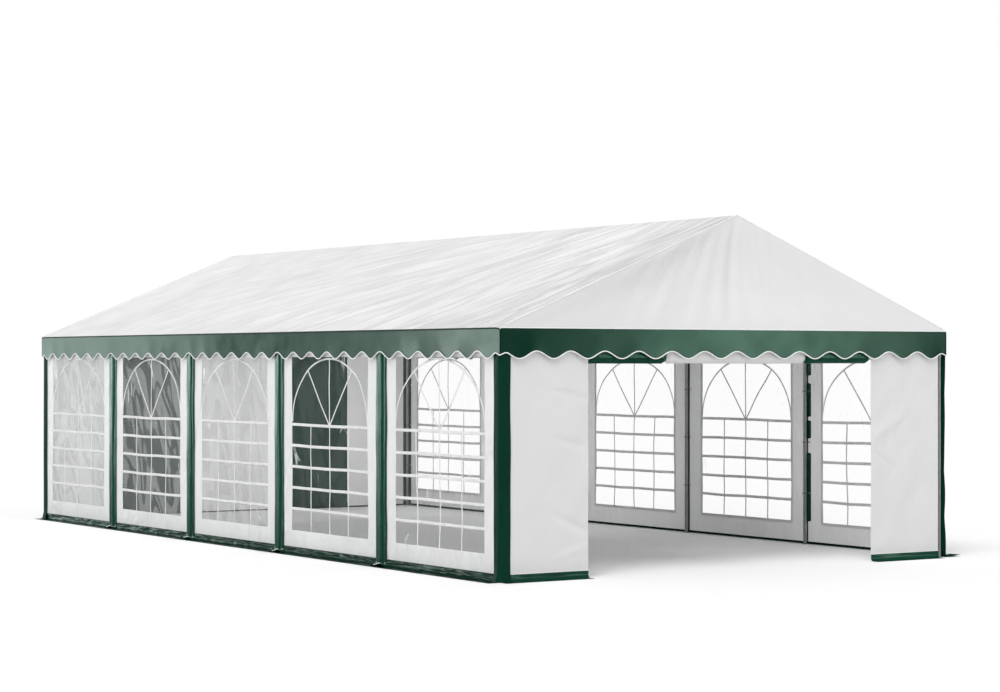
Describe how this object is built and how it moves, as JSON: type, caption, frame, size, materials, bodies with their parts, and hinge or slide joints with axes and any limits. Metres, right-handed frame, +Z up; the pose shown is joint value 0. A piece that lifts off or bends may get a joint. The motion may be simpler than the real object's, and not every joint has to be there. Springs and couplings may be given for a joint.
{
  "type": "marquee tent",
  "caption": "Pitched marquee tent: steel tube frame, white fabric roof, scalloped green valance, window walls and a rolled-up front door.",
  "frame": {"origin": "on the ground, under the middle of the tent's outline, ground flaps included", "axes": "+Y along the ridge, from the open front gable to the closed back gable; +X across the tent, to the right of someone who looks in from the front; +Z up"},
  "size_m": [5.24, 10.24, 3.1729],
  "materials": {
    "steel_tube": "zinc-coated round tube, dull silver",
    "white_cloth": "white coated tarpaulin cloth, slightly glossy, creased",
    "green_cloth": "dark green coated tarpaulin cloth, glossy",
    "clear_film": "clear flexible window film, rippled"
  },
  "bodies": {
    "root": {"post_left_1": "steel_tube", "post_left_2": "steel_tube", "post_left_3": "steel_tube", "post_left_4": "steel_tube", "post_left_5": "steel_tube", "post_left_6": "steel_tube", "post_right_1": "steel_tube", "post_right_2": "steel_tube", "post_right_3": "steel_tube", "post_right_4": "steel_tube", "post_right_5": "steel_tube", "post_right_6": "steel_tube", "roof_frame_left": "steel_tube", "roof_frame_right": "steel_tube", "ridge_tube": "steel_tube", "gable_bar_front": "steel_tube", "gable_bar_back": "steel_tube", "roof_sheet_left": "white_cloth", "roof_sheet_right": "white_cloth", "gable_sheet_front": "white_cloth", "gable_sheet_back": "white_cloth", "valance_front": "green_cloth", "valance_back": "green_cloth", "valance_left": "green_cloth", "valance_right": "green_cloth", "side_wall_left_1": "white_cloth", "side_wall_left_2": "white_cloth", "side_wall_left_3": "white_cloth", "side_wall_left_4": "white_cloth", "side_wall_left_5": "white_cloth", "side_wall_right_1": "white_cloth", "side_wall_right_2": "white_cloth", "side_wall_right_3": "white_cloth", "side_wall_right_4": "white_cloth", "side_wall_right_5": "white_cloth", "window_film_left": "clear_film", "window_film_right": "clear_film", "front_wall_left": "white_cloth", "front_wall_right": "white_cloth", "front_door_rolled": "green_cloth", "back_wall_left": "white_cloth", "back_wall_right": "white_cloth", "back_door_left": "green_cloth", "back_door_middle": "white_cloth", "back_door_right": "green_cloth", "green_trim_left": "green_cloth", "green_trim_right": "green_cloth", "green_trim_front_left": "green_cloth", "green_trim_front_right": "green_cloth", "green_trim_back": "green_cloth"}
  },
  "joints": []
}
